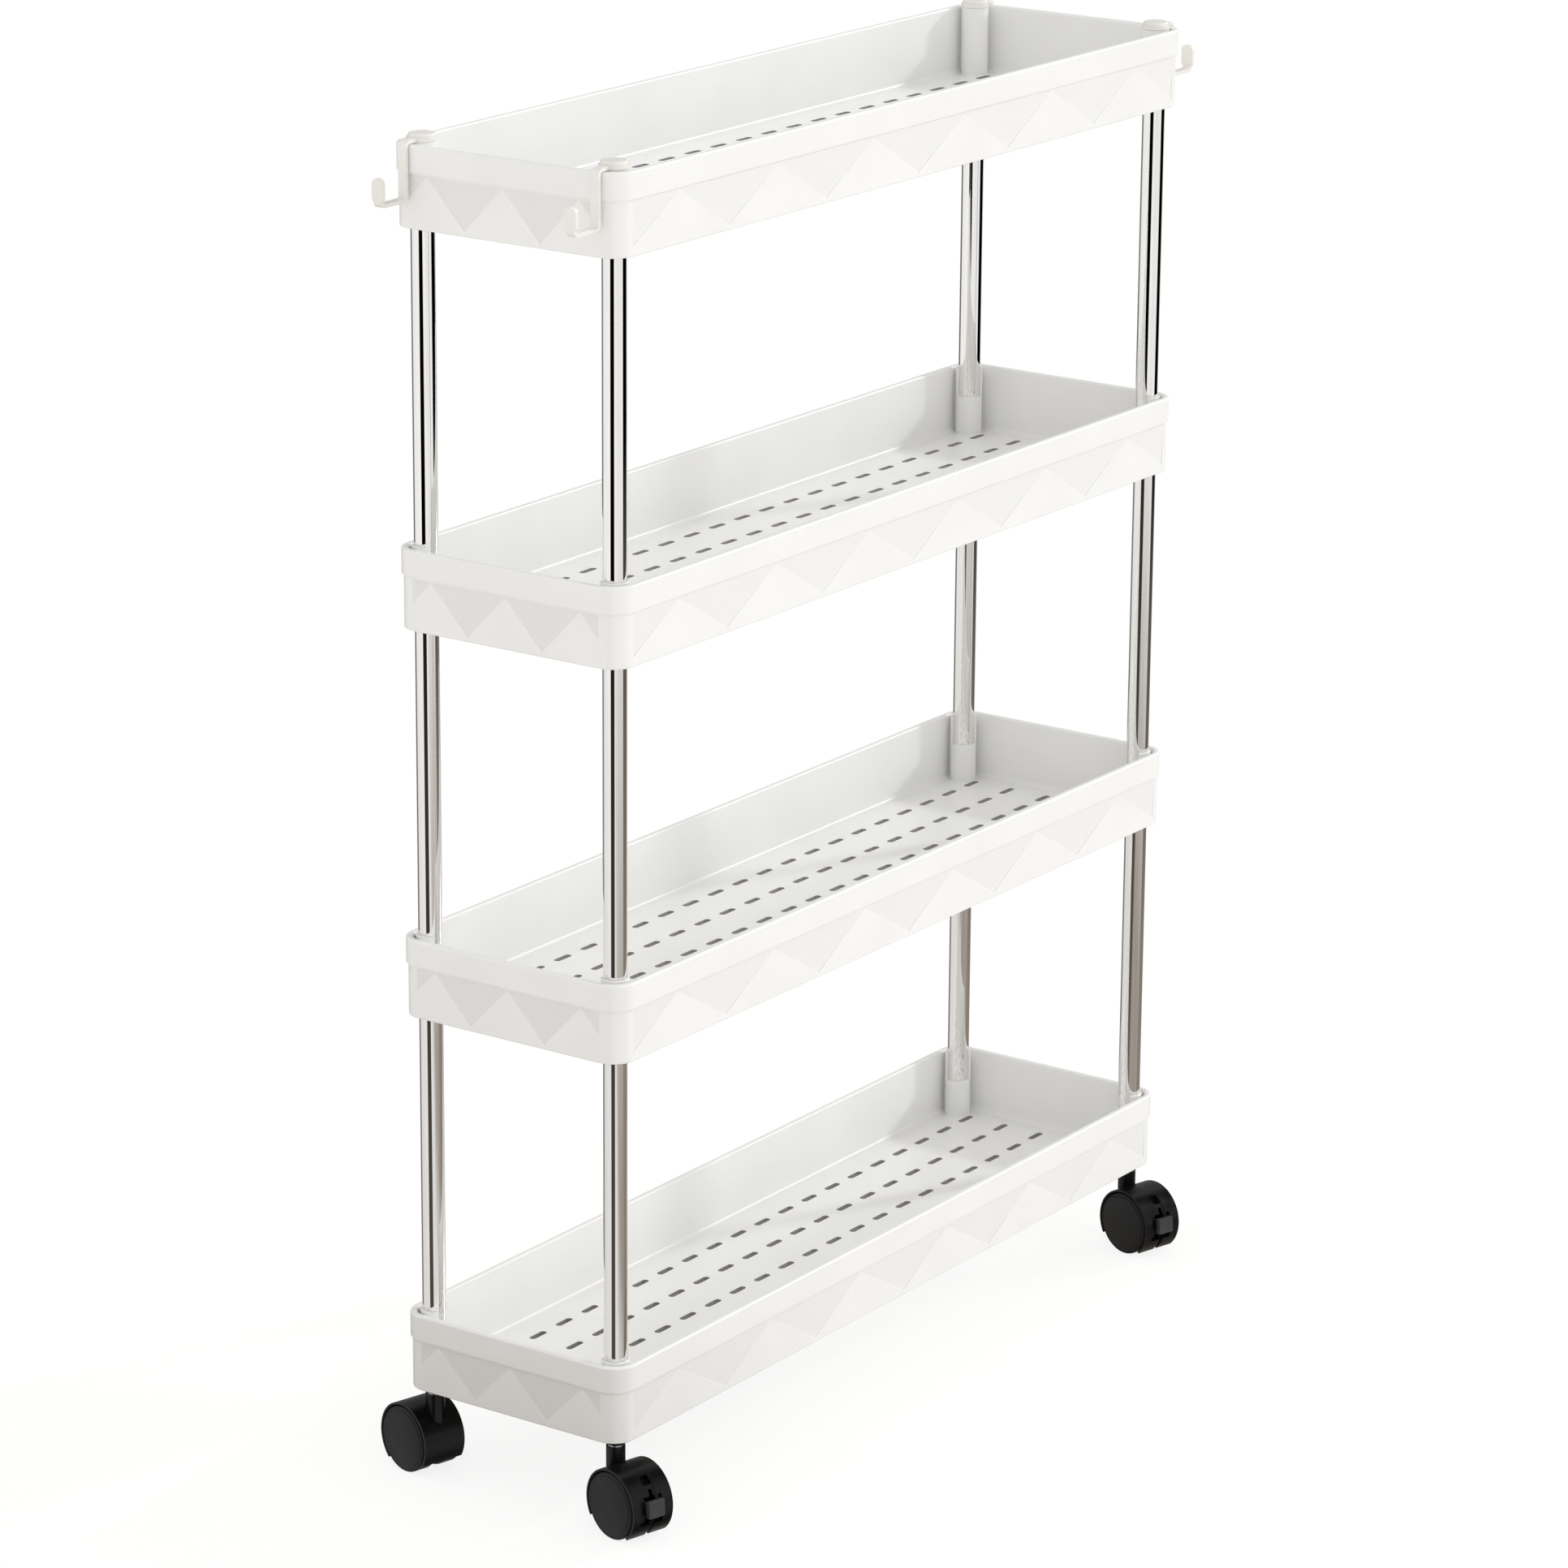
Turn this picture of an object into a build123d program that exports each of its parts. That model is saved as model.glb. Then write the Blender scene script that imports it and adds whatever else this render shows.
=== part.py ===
from build123d import *
import os

# Rolling pantry cart: four moulded trays on chromed tubes, hooks on the top tray, and four
# braked twin-wheel casters. Millimetres. +X runs along the trays, -Y is the front, +Z is up,
# and the origin is on the floor under the middle of the cart.

# ---------------------------------------------------------------- driving dimensions
# Tray
tray_length = 550.0
tray_width = 150.0
tray_corner = 14.0          # outer radius of the vertical corners
tray_height = 44.5          # bottom edge to rim
band_height = 14.5          # plain band under the rim
band_step = 1.2             # how far the band stands proud of the faceted wall
tray_wall = 2.6             # faceted wall
rim_round = 1.3
floor_lift = 2.0            # bottom edge to the underside of the floor
floor_thickness = 3.0
floor_fillet = 3.0
bottom_round = 0.8

# Facets pressed into the wall under the band
facets_long = 6             # raised triangles on each long wall
facets_short = 3            # raised triangles on each short wall
facet_margin_long = 10.0    # end of the wall to the foot of its last triangle
facet_margin_short = 1.5
facet_depth = 0.45          # depth of a sunk triangle at its lowest point
facet_foot = 3.0            # bottom edge to the lowest point of a sunk triangle
facet_head = 1.5            # gap between the band and the top of the triangles

# Drain slots in the floor
slot_length = 13.4
slot_width = 4.0
slot_columns = 22
slot_rows = 5
slot_end_gap = 10.4         # end wall's inside to the nearest slot
slot_side_gap = 18.0        # side wall's inside to the nearest row of slots

# Ribs under the floor
under_rib = 1.6
under_rib_gap = 0.5         # the ribs end this far above the tray's bottom edge
cross_ribs = 5
slots_per_cross_rib = 4

# Stack
tray_pitch = 216.5          # tray to tray
bottom_tray_z = 52.5        # floor to the lowest tray's bottom edge

# Tubes and the posts that hold them
tube_diameter = 13.0
tube_wall = 0.8
tube_chamfer = 0.25
tube_fit = 0.05             # radial clearance of a tube in its socket
socket_wall = 1.25
socket_depth = 14.0         # how far a tube enters a post from below
stop_thickness = 2.0        # solid stop between the lower and the upper socket
socket_rise = 0.4           # the socket stands this far above the rim
socket_chamfer = 0.4
window_height = 28.0        # below this the socket is a full ring, above it has a window
window_share = 0.12         # window plane, as a share of the post's radius
post_inset_x = 14.0         # end wall to the post's axis
post_inset_y = 13.0         # side wall to the post's axis
post_rib = 2.2
post_rib_drop = 2.0         # the ribs from post to wall end this far below the rim

# Post caps and hooks
cap_bore_radius = 5.5
cap_plug_fit = 0.1
cap_plug_length = 7.0
cap_head_overhang = 1.8     # the head reaches this far past the bore
cap_head_height = 2.0
cap_head_round = 1.2
cap_neck_step = 0.7         # the neck is this much slimmer than the bore, in radius
top_post_rise = 0.3         # the top tray's posts end this far above its rim
eyelet_fit = 0.3
eyelet_wall = 3.0
hook_thickness = 2.0
hook_width = 5.2
hook_tip_width = 7.4
hook_tip_round = 3.0
hook_gap = 0.8              # strap to tray band
hook_drop = 30.0            # rim to the underside of the hook
hook_reach = 22.5           # outer face of the strap to the outer face of the tip
hook_tip_height = 15.5
hook_bend = 2.6

# Casters
wheel_radius = 19.0
wheel_inner_x = 3.2         # middle of the caster to the inner face of a wheel
wheel_outer_x = 14.0
tread_thickness = 3.0
wheel_disc = 1.6
wheel_hub_radius = 5.0
tread_round = 1.5
hubcap_ring = 2.4           # ring of tread left round the hub cap
hubcap_fit = 0.05
hubcap_recess = 0.8
hubcap_edge = 1.0
hubcap_dome = 1.6
hubcap_flat_radius = 4.0
axle_radius = 2.0
axle_running_fit = 0.06
press_fit = 0.02
axle_end_gap = 0.2
trail = 12.0                # swivel axis to wheel axle
caster_yaw = -15.0          # how far the casters stand turned from straight
hood_gap = 0.6              # wheel tread to the inside of the hood
hood_thickness = 1.2
hood_half_width = 13.4
hood_front_angle = -48.0    # angles are counted up from straight forward
hood_rear_angle = -148.0
web_half_width = 2.6
web_front_angle = 41.0
hub_boss_radius = 7.5
cheek_margin = 3.0          # lever's pivot to the rim of the cheeks
neck_radius = 5.3
stem_radius = 3.0
stem_running_fit = 0.06
stem_foot_depth = 9.7       # how far the stem reaches into the neck
stem_ring_radius = 4.6
stem_ring_height = 1.0
stem_ring_gap = 0.1
collar_radius = 4.8
collar_height = 2.6
flange_margin = 0.7         # the flange is this much smaller than the post, in radius
flange_thickness = 1.6
insert_fit = 0.1
insert_length = 13.5
stem_depth = 12.0           # how far the stem enters the bottom tray

# Brake lever
lever_angle = 5.0
lever_pivot_depth = 6.5     # wheel's tread to the lever's pivot
lever_half_width = 1.0
lever_slot_fit = 0.2
slot_root_gap = 1.3         # lever's boss to the bottom of its slot
trunnion_radius = 1.2
trunnion_fit = 0.06
trunnion_half_length = 2.5
pivot_boss_radius = 2.5
pad_gap = 1.0               # wheel's tread to the inside face of the pad
pad_thickness = 3.6
pad_low_x = -5.0
pad_high_x = 6.0
pad_down = 4.6
pad_up = 4.9
pad_round = 0.7
notch_low_x = -8.5
notch_high_x = 6.6
notch_top = 20.0            # the notch spans these angles above and below the lever
notch_bottom = 26.0
hole_size = 5.6
hole_angle = 50.0
hole_depth = 3.0
seam_width = 0.45
seam_depth = 0.4
seam_length = 8.0
seam_angle = 33.0

# ---------------------------------------------------------------- derived sizes
floor_top = floor_lift + floor_thickness
band_line = tray_height - band_height
inner_inset = band_step + tray_wall
inner_length = tray_length - 2 * inner_inset
inner_width = tray_width - 2 * inner_inset
inner_corner = tray_corner - inner_inset
post_x = tray_length / 2 - post_inset_x
post_y = tray_width / 2 - post_inset_y
tube_radius = tube_diameter / 2
socket_bore = tube_radius + tube_fit
post_radius = socket_bore + socket_wall
stop_top = socket_depth + stop_thickness
tube_length = tray_pitch - stop_thickness
top_tray_z = bottom_tray_z + 3 * tray_pitch
top_rim_z = top_tray_z + tray_height
eyelet_z = top_rim_z + top_post_rise
hood_inner = wheel_radius + hood_gap
hood_outer = hood_inner + hood_thickness
slot_pitch_x = (inner_length - 2 * slot_end_gap - slot_length) / (slot_columns - 1)
slot_pitch_y = (inner_width - 2 * slot_side_gap - slot_width) / (slot_rows - 1)
cap_head_radius = cap_bore_radius + cap_head_overhang
cap_neck_radius = cap_bore_radius - cap_neck_step
hubcap_radius = wheel_radius - hubcap_ring
flange_z = bottom_tray_z - flange_thickness
flange_radius = post_radius - flange_margin
collar_z = flange_z - collar_height
stem_ring_z = collar_z - stem_ring_height
neck_top_z = stem_ring_z - stem_ring_gap
stem_foot_z = neck_top_z - stem_foot_depth
lever_pivot_radius = wheel_radius - lever_pivot_depth
cheek_radius = lever_pivot_radius + cheek_margin
pad_inner_radius = wheel_radius + pad_gap
caster_half_width = wheel_outer_x - hubcap_recess

corners = {
    "front_left": (-post_x, -post_y),
    "front_right": (post_x, -post_y),
    "rear_left": (-post_x, post_y),
    "rear_right": (post_x, post_y),
}
upright = (Align.CENTER, Align.CENTER, Align.MIN)


def inward_angle(x, y):
    """Direction from a post towards the middle of the tray, on its corner's diagonal."""
    if x > 0:
        return 225.0 if y > 0 else 135.0
    return -45.0 if y > 0 else 45.0


def save_at(part, name, x=0.0, y=0.0, z=0.0, turn=0.0):
    """Places a finished piece, labels it and writes its STEP file."""
    with BuildPart() as placed:
        add(part.moved(Location((x, y, z), (0, 0, turn))))
    placed.part.label = name
    export_step(placed.part, f"parts/{name}.step")


# ---------------------------------------------------------------- trays
def build_tray_shell():
    """Band, wall and floor: a rounded box, hollow above its floor and under it."""
    with BuildPart() as cavity:
        with BuildSketch(Plane.XY.offset(floor_top)):
            RectangleRounded(inner_length, inner_width, inner_corner)
        extrude(amount=tray_height)
        fillet(cavity.faces().sort_by(Axis.Z)[0].edges(), floor_fillet)
    with BuildPart() as shell:
        with BuildSketch(Plane.XY):
            RectangleRounded(
                tray_length - 2 * band_step, tray_width - 2 * band_step, tray_corner - band_step
            )
        extrude(amount=band_line)
        fillet(shell.faces().sort_by(Axis.Z)[0].edges(), bottom_round)
        with BuildSketch(Plane.XY.offset(band_line)):
            RectangleRounded(tray_length, tray_width, tray_corner)
        extrude(amount=band_height)
        fillet(shell.faces().sort_by(Axis.Z)[-1].edges(), rim_round)
        add(cavity.part, mode=Mode.SUBTRACT)
        with BuildSketch(Plane.XY):
            RectangleRounded(inner_length, inner_width, inner_corner)
        extrude(amount=floor_lift, mode=Mode.SUBTRACT)
        rim_inside = shell.faces().sort_by(Axis.Z)[-1].inner_wires()[0]
        fillet(rim_inside.edges(), rim_round)
    return shell.part


def build_facet_cutter(wall_length, count, margin, flat_length):
    """Sunk triangles of one wall: base along the band, point down, deepest at the point.

    The wall's face is the XZ plane at y = 0 and its inside is at +Y.
    """
    pitch = (wall_length - 2 * margin) / count
    top = band_line - facet_head
    feet = [(i - count / 2) * pitch for i in range(count + 1)]
    with BuildPart() as cutter:
        with BuildSketch(Plane.XZ):
            for foot in feet:
                Polygon((foot - pitch / 2, top), (foot + pitch / 2, top), (foot, facet_foot), align=None)
            with Locations((0, tray_height / 2)):
                Rectangle(flat_length, tray_height, mode=Mode.INTERSECT)
        extrude(amount=-2 * facet_depth)
        slope = Plane(
            origin=(0, 0, top), x_dir=(1, 0, 0), z_dir=(0, top - facet_foot, facet_depth)
        )
        split(bisect_by=slope, keep=Keep.BOTTOM)
    return cutter.part


def add_posts(height, upper_bore, has_window):
    """Adds the four corner posts, their ribs and their bores to the tray being built."""
    rib_height = tray_height - post_rib_drop - floor_lift
    reach_x = post_inset_x - inner_inset + rim_round
    reach_y = post_inset_y - inner_inset + rim_round
    for x, y in corners.values():
        side_x = 1 if x > 0 else -1
        side_y = 1 if y > 0 else -1
        with Locations((x, y, 0)):
            Cylinder(post_radius, height, align=upright)
        rim_edge = edges().filter_by(GeomType.CIRCLE).filter_by(
            lambda e: abs(e.radius - post_radius) < 0.001 and abs(e.center().Z - height) < 0.001
        )
        chamfer(rim_edge.sort_by_distance((x, y, height))[0], socket_chamfer)
        with Locations((x + side_x * reach_x / 2, y, floor_lift)):
            Box(reach_x, post_rib, rib_height, align=upright)
        with Locations((x, y + side_y * reach_y / 2, floor_lift)):
            Box(post_rib, reach_y, rib_height, align=upright)
        with Locations((x, y, 0)):
            Cylinder(socket_bore, socket_depth, align=upright, mode=Mode.SUBTRACT)
        with Locations((x, y, stop_top)):
            Cylinder(upper_bore, height, align=upright, mode=Mode.SUBTRACT)
        if has_window:
            window = Location((x, y, window_height), (0, 0, inward_angle(x, y)))
            with Locations(window):
                with Locations((post_radius * (window_share + 1), 0, 0)):
                    Box(2 * post_radius, 2 * post_radius, height, align=upright, mode=Mode.SUBTRACT)


def build_tray(is_top):
    """One moulded tray, its bottom edge at z = 0."""
    shell = build_tray_shell()
    flat_long = tray_length - 2 * tray_corner
    flat_short = tray_width - 2 * tray_corner
    long_cutter = build_facet_cutter(tray_length, facets_long, facet_margin_long, flat_long)
    short_cutter = build_facet_cutter(tray_width, facets_short, facet_margin_short, flat_short)
    half_x = tray_length / 2 - band_step
    half_y = tray_width / 2 - band_step
    rib_depth = floor_lift - under_rib_gap
    with BuildPart() as tray:
        add(shell)
        for turn, offset, cutter in (
            (0, half_y, long_cutter),
            (90, half_x, short_cutter),
            (180, half_y, long_cutter),
            (270, half_x, short_cutter),
        ):
            placed = Location((0, 0, 0), (0, 0, turn)) * Location((0, -offset, 0))
            add(cutter.moved(placed), mode=Mode.SUBTRACT)
        with Locations((0, 0, under_rib_gap)):
            with GridLocations(0, slot_pitch_y, 1, slot_rows - 1):
                Box(inner_length, under_rib, rib_depth, align=upright)
            with GridLocations(slots_per_cross_rib * slot_pitch_x, 0, cross_ribs, 1):
                Box(under_rib, inner_width, rib_depth, align=upright)
        with BuildSketch(Plane.XY.offset(floor_lift)):
            with GridLocations(slot_pitch_x, slot_pitch_y, slot_columns, slot_rows):
                SlotOverall(slot_length, slot_width)
        extrude(amount=floor_thickness, mode=Mode.SUBTRACT)
        if is_top:
            add_posts(tray_height + top_post_rise, cap_bore_radius, False)
        else:
            add_posts(tray_height + socket_rise, socket_bore, True)
    return tray.part


# ---------------------------------------------------------------- tubes, caps and hooks
def build_tube():
    """Thin chromed tube, its lower end at z = 0."""
    with BuildPart() as tube:
        Cylinder(tube_radius, tube_length, align=upright)
        chamfer(tube.edges().filter_by(GeomType.CIRCLE), tube_chamfer)
        Cylinder(tube_radius - tube_wall, tube_length, align=upright, mode=Mode.SUBTRACT)
    return tube.part


def build_post_cap():
    """Mushroom cap: plug in the post, neck through the hook's eyelet, round head on top.

    z = 0 is the top of the post.
    """
    with BuildPart() as cap:
        with Locations((0, 0, hook_thickness)):
            Cylinder(cap_head_radius, cap_head_height, align=upright)
        fillet(cap.edges().sort_by(Axis.Z)[-1], cap_head_round)
        Cylinder(cap_neck_radius, hook_thickness, align=upright)
        with Locations((0, 0, -cap_plug_length)):
            Cylinder(cap_bore_radius - cap_plug_fit, cap_plug_length, align=upright)
    return cap.part


def build_hook():
    """Hook with an eyelet round the cap's neck, reaching out along +X. z = 0 is the top of the post."""
    eyelet_bore = cap_neck_radius + eyelet_fit
    middle = hook_thickness / 2
    strap_x = post_inset_x + hook_gap + middle
    tip_x = strap_x + hook_reach - hook_thickness
    low_z = -top_post_rise - hook_drop + middle
    tip_z = low_z - middle + hook_tip_height
    tip_span = hook_tip_height - hook_bend
    with BuildPart() as hook:
        with BuildLine(Plane.XZ):
            FilletPolyline(
                (0, middle), (strap_x, middle), (strap_x, low_z), (tip_x, low_z),
                (tip_x, tip_z - hook_tip_round), radius=hook_bend,
            )
        with BuildSketch(Plane.YZ):
            with Locations((0, middle)):
                Rectangle(hook_width, hook_thickness)
        sweep(transition=Transition.ROUND)
        with BuildSketch(Plane.YZ.offset(tip_x - middle)):
            with Locations((0, tip_z - tip_span / 2)):
                RectangleRounded(hook_tip_width, tip_span, hook_tip_round)
        extrude(amount=hook_thickness)
        Cylinder(eyelet_bore + eyelet_wall, hook_thickness, align=upright)
        Cylinder(eyelet_bore, hook_thickness, align=upright, mode=Mode.SUBTRACT)
    return hook.part


# ---------------------------------------------------------------- casters
# Each caster piece is built with its swivel axis on Z, the floor at z = 0, the axle along X and
# the brake towards -Y.
axle_point = (0, -trail, wheel_radius)


def at_angle(angle):
    """Frame on the axle whose -Y axis points forward and up by angle degrees."""
    return Location(axle_point, (-angle, 0, 0))


def forward_point(radius, angle):
    """Point of the caster's YZ plane, at a radius from the axle and an angle from forward."""
    spoke = at_angle(angle) * Location((0, -radius, 0))
    return (spoke.position.Y, spoke.position.Z)


def build_insert():
    """Plastic socket pressed into a post of the bottom tray from below."""
    with BuildPart() as insert:
        with Locations((0, 0, bottom_tray_z)):
            Cylinder(socket_bore - insert_fit, insert_length, align=upright)
        with Locations((0, 0, flange_z)):
            Cylinder(flange_radius, flange_thickness, align=upright)
        with Locations((0, 0, collar_z)):
            Cylinder(collar_radius, collar_height, align=upright)
            Cylinder(stem_radius + press_fit, tray_height, align=upright, mode=Mode.SUBTRACT)
    return insert.part


def build_stem():
    """Steel stem with its thrust ring."""
    with BuildPart() as stem:
        with Locations((0, 0, stem_foot_z)):
            Cylinder(stem_radius, bottom_tray_z + stem_depth - stem_foot_z, align=upright)
        chamfer(stem.edges().filter_by(GeomType.CIRCLE), stem_radius / 6)
        with Locations((0, 0, stem_ring_z)):
            Cylinder(stem_ring_radius, stem_ring_height, align=upright)
    return stem.part


def build_housing():
    """Hood over both wheels, with the web between them, the swivel neck and the brake's cheeks."""
    open_span = hood_rear_angle - hood_front_angle
    open_angles = [hood_front_angle + share * open_span for share in (0, 0.33, 0.67, 1)]
    web_open_angles = (web_front_angle, 0, *open_angles)
    far = 3 * hood_outer
    hub = (axle_point[1], axle_point[2])
    with BuildPart() as housing:
        with Locations((0, 0, neck_top_z)):
            Cylinder(neck_radius, neck_top_z, align=(Align.CENTER, Align.CENTER, Align.MAX))
        with Locations(Location(axle_point, (0, 90, 0))):
            Cylinder(hood_inner, 4 * hood_half_width, mode=Mode.SUBTRACT)
        Cylinder(neck_radius, wheel_radius, align=upright, mode=Mode.SUBTRACT)
        with BuildSketch(Plane.YZ):
            with Locations(hub):
                Circle(hood_outer)
                Circle(hood_inner, mode=Mode.SUBTRACT)
            Polygon(hub, *[forward_point(far, a) for a in open_angles], align=None, mode=Mode.SUBTRACT)
        extrude(amount=hood_half_width, both=True)
        notch_angles = (lever_angle + notch_top, lever_angle, lever_angle - notch_bottom)
        with BuildSketch(Plane.YZ.offset(notch_low_x)):
            Polygon(hub, *[forward_point(far, a) for a in notch_angles], align=None)
        extrude(amount=notch_high_x - notch_low_x, mode=Mode.SUBTRACT)
        with BuildSketch(Plane.YZ):
            with Locations(hub):
                Circle(hood_inner + hood_thickness / 2)
            Polygon(
                hub, *[forward_point(far, a) for a in web_open_angles], align=None, mode=Mode.SUBTRACT
            )
            with Locations(hub):
                Circle(hub_boss_radius)
            with Locations(forward_point(lever_pivot_radius, lever_angle)):
                Circle(cheek_radius - lever_pivot_radius)
            Polygon(
                forward_point(hub_boss_radius, lever_angle + 80),
                forward_point(cheek_radius, lever_angle + 36),
                forward_point(cheek_radius, lever_angle),
                forward_point(hub_boss_radius, lever_angle - 60),
                align=None,
            )
        extrude(amount=web_half_width, both=True)
        with BuildSketch(Plane.YZ):
            with Locations(hub):
                Circle(far)
                Circle(lever_pivot_radius - pivot_boss_radius - slot_root_gap, mode=Mode.SUBTRACT)
            slot_angles = [lever_angle + step for step in (30, 0, -30, -60)]
            Polygon(hub, *[forward_point(far, a) for a in slot_angles], align=None, mode=Mode.INTERSECT)
        extrude(amount=lever_half_width + lever_slot_fit, both=True, mode=Mode.SUBTRACT)
        with Locations(at_angle(lever_angle)):
            with Locations(Location((0, -lever_pivot_radius, 0), (0, 90, 0))):
                Cylinder(trunnion_radius + trunnion_fit, 4 * web_half_width, mode=Mode.SUBTRACT)
        with Locations(at_angle(hole_angle)):
            with Locations((0, -hood_outer + hole_depth / 2 - 0.2, 0)):
                Box(hole_size, hole_depth, hole_size, mode=Mode.SUBTRACT)
        with Locations(at_angle(seam_angle)):
            with Locations((hole_size / 2, -hood_outer, 0)):
                Box(seam_width, 2 * seam_depth, seam_length, mode=Mode.SUBTRACT)
        with Locations(Location(axle_point, (0, 90, 0))):
            Cylinder(axle_radius + press_fit, 4 * web_half_width, mode=Mode.SUBTRACT)
        with Locations((0, 0, stem_foot_z - stem_ring_gap)):
            Cylinder(stem_radius + stem_running_fit, neck_top_z, align=upright, mode=Mode.SUBTRACT)
    return housing.part


def build_axle():
    """Steel axle through the web and both wheels."""
    with BuildPart() as axle:
        with Locations(Location(axle_point, (0, 90, 0))):
            Cylinder(axle_radius, 2 * (caster_half_width - axle_end_gap))
        chamfer(axle.edges().filter_by(GeomType.CIRCLE), axle_radius / 6)
    return axle.part


def build_wheel(side):
    """Cup-shaped wheel on one side of the web; side is -1 or 1 along X."""
    disc_x = caster_half_width - wheel_disc
    with BuildPart() as wheel:
        with BuildSketch(Plane.XZ):
            Polygon(
                (wheel_inner_x, axle_radius + axle_running_fit),
                (wheel_inner_x, wheel_hub_radius),
                (disc_x, wheel_hub_radius),
                (disc_x, wheel_radius - tread_thickness),
                (wheel_inner_x, wheel_radius - tread_thickness),
                (wheel_inner_x, wheel_radius),
                (wheel_outer_x, wheel_radius),
                (wheel_outer_x, hubcap_radius + hubcap_fit),
                (caster_half_width, hubcap_radius + hubcap_fit),
                (caster_half_width, axle_radius + axle_running_fit),
                align=None,
            )
        revolve(axis=Axis.X)
        tread_edges = wheel.edges().filter_by(
            lambda e: e.geom_type == GeomType.CIRCLE and abs(e.radius - wheel_radius) < 0.001
        )
        fillet(tread_edges, tread_round)
    turned = wheel.part if side > 0 else wheel.part.rotate(Axis.Z, 180)
    return turned.moved(Location(axle_point))


def build_hubcap(side):
    """Domed cap seated in the wheel's outer face."""
    edge_x = caster_half_width + hubcap_edge
    dome_x = edge_x + hubcap_dome
    with BuildPart() as hubcap:
        with BuildSketch(Plane.XZ):
            with BuildLine():
                Polyline(
                    (dome_x, hubcap_flat_radius), (dome_x, 0), (caster_half_width, 0),
                    (caster_half_width, hubcap_radius), (edge_x, hubcap_radius),
                )
                bulge_radius = (hubcap_radius + hubcap_flat_radius) / 2
                ThreePointArc(
                    (edge_x, hubcap_radius),
                    (edge_x + 0.72 * hubcap_dome, bulge_radius),
                    (dome_x, hubcap_flat_radius),
                )
            make_face()
        revolve(axis=Axis.X)
    turned = hubcap.part if side > 0 else hubcap.part.rotate(Axis.Z, 180)
    return turned.moved(Location(axle_point))


def build_brake_lever():
    """Foot lever: arm in the web's slot on moulded trunnions, and the pad outside the hood."""
    pad_middle = pad_inner_radius + pad_thickness / 2
    arm_length = pad_middle - lever_pivot_radius
    with BuildPart() as lever:
        with Locations(at_angle(lever_angle)):
            with Locations(((pad_low_x + pad_high_x) / 2, -pad_middle, (pad_up - pad_down) / 2)):
                Box(pad_high_x - pad_low_x, pad_thickness, pad_up + pad_down)
        fillet(lever.edges(), pad_round)
        with Locations(at_angle(lever_angle)):
            with Locations((0, -lever_pivot_radius - arm_length / 2, 0)):
                Box(2 * lever_half_width, arm_length, 2 * (pivot_boss_radius - lever_slot_fit))
            with Locations(Location((0, -lever_pivot_radius, 0), (0, 90, 0))):
                Cylinder(pivot_boss_radius, 2 * lever_half_width)
                Cylinder(trunnion_radius, 2 * trunnion_half_length)
    return lever.part


# ---------------------------------------------------------------- the whole cart
def main():
    os.makedirs("parts", exist_ok=True)

    tray = build_tray(is_top=False)
    tray_names = ("bottom_tray", "lower_middle_tray", "upper_middle_tray")
    for level, name in enumerate(tray_names):
        save_at(tray, name, z=bottom_tray_z + level * tray_pitch)
    save_at(build_tray(is_top=True), "top_tray", z=top_tray_z)

    tube = build_tube()
    for level, gap in enumerate(("lower", "middle", "upper")):
        for corner, (x, y) in corners.items():
            foot = bottom_tray_z + level * tray_pitch + stop_top
            save_at(tube, f"{gap}_tube_{corner}", x, y, foot)

    cap = build_post_cap()
    hook = build_hook()
    for corner, (x, y) in corners.items():
        save_at(cap, f"post_cap_{corner}", x, y, eyelet_z)
        save_at(hook, f"hook_{corner}", x, y, eyelet_z, 0 if x > 0 else 180)

    caster_pieces = {
        "caster_socket": build_insert(),
        "caster_stem": build_stem(),
        "caster_housing": build_housing(),
        "caster_axle": build_axle(),
        "brake_lever": build_brake_lever(),
        "wheel_a": build_wheel(-1),
        "wheel_b": build_wheel(1),
        "hubcap_a": build_hubcap(-1),
        "hubcap_b": build_hubcap(1),
    }
    for corner, (x, y) in corners.items():
        turn = caster_yaw if y < 0 else caster_yaw + 180
        for piece, part in caster_pieces.items():
            save_at(part, f"{piece}_{corner}", x, y, 0, turn)


main()
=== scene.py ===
# %% [markdown]
# # A rolling pantry cart, finished in Blender
# The cart's solid pieces come from a CAD model that is already in place, in metres. This lesson gives
# every piece its material, adds the small marks that moulding leaves, and sets up a bright studio.
# We start by loading the pieces. They arrive standing on the floor, with Z up.

import math

import bmesh
import bpy
from mathutils import Matrix, Vector


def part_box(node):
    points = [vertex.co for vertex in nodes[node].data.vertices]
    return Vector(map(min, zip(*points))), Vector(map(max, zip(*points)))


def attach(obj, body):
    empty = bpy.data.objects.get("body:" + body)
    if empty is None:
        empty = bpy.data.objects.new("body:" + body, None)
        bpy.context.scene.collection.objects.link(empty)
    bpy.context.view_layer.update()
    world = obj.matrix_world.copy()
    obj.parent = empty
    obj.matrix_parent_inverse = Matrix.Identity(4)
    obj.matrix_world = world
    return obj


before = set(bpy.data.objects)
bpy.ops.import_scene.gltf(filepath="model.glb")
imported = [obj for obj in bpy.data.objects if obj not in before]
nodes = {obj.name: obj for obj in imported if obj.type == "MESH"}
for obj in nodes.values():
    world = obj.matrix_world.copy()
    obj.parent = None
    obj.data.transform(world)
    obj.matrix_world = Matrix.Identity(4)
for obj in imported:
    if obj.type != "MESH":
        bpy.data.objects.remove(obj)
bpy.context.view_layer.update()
MM = 0.001


# %% [markdown]
# ## Smooth shading
# A turned or moulded piece has smooth curved faces and crisp edges. Shading the whole mesh smooth
# would smear light over the edges, and flat shading would show facets on every tube. Marking edges
# sharper than an angle as sharp, and smoothing the rest, keeps both.

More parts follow.
